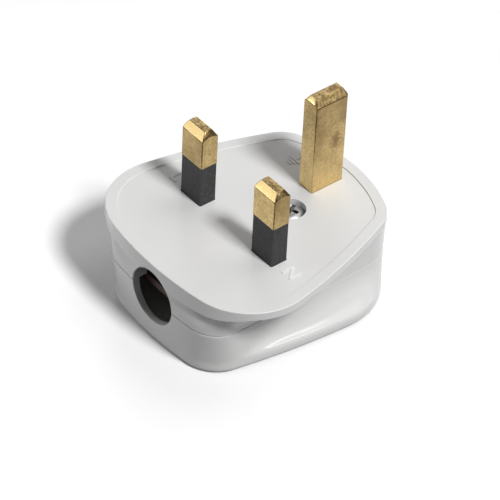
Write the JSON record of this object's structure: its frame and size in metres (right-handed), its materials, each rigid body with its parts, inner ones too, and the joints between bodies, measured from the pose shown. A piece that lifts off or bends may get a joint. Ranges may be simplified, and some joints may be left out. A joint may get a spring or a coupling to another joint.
{
  "type": "uk three pin plug",
  "caption": "Rewirable British mains plug with rectangular brass pins, part sleeved live and neutral, a round cord entry, hollow finger grips and a flat back.",
  "frame": {"origin": "centre of the bounding box's footprint, on the flat back that the plug rests on", "axes": "+Z along the pins, +Y from the cord entry to the earth pin, +X from the live pin to the neutral pin"},
  "size_m": [0.0504, 0.051, 0.0422],
  "materials": {
    "housing": "glossy white moulding",
    "brass": "plain drawn brass, lightly marked",
    "sleeve": "matt black insulation",
    "steel": "zinc plated steel",
    "fibre": "brown vulcanised fibre",
    "spring": "sprung bronze sheet",
    "ceramic": "glazed ceramic tube",
    "fuse_cap": "nickel plated cap"
  },
  "bodies": {
    "root": {"base": "housing", "cover": "housing", "cover_screw": "steel", "screw_retaining_washer": "fibre", "cover_nut": "brass", "earth_pin": "brass", "neutral_pin": "brass", "live_pin": "brass", "neutral_pin_sleeve": "sleeve", "live_pin_sleeve": "sleeve", "earth_terminal_screw": "brass", "neutral_terminal_screw": "brass", "live_terminal_screw": "brass", "live_terminal": "brass", "pin_fuse_clip": "spring", "terminal_fuse_clip": "spring", "fuse_body": "ceramic", "fuse_cap_pin_end": "fuse_cap", "fuse_cap_terminal_end": "fuse_cap", "cord_clamp": "fibre", "cord_clamp_screw_live_side": "steel", "cord_clamp_screw_neutral_side": "steel"}
  },
  "joints": []
}
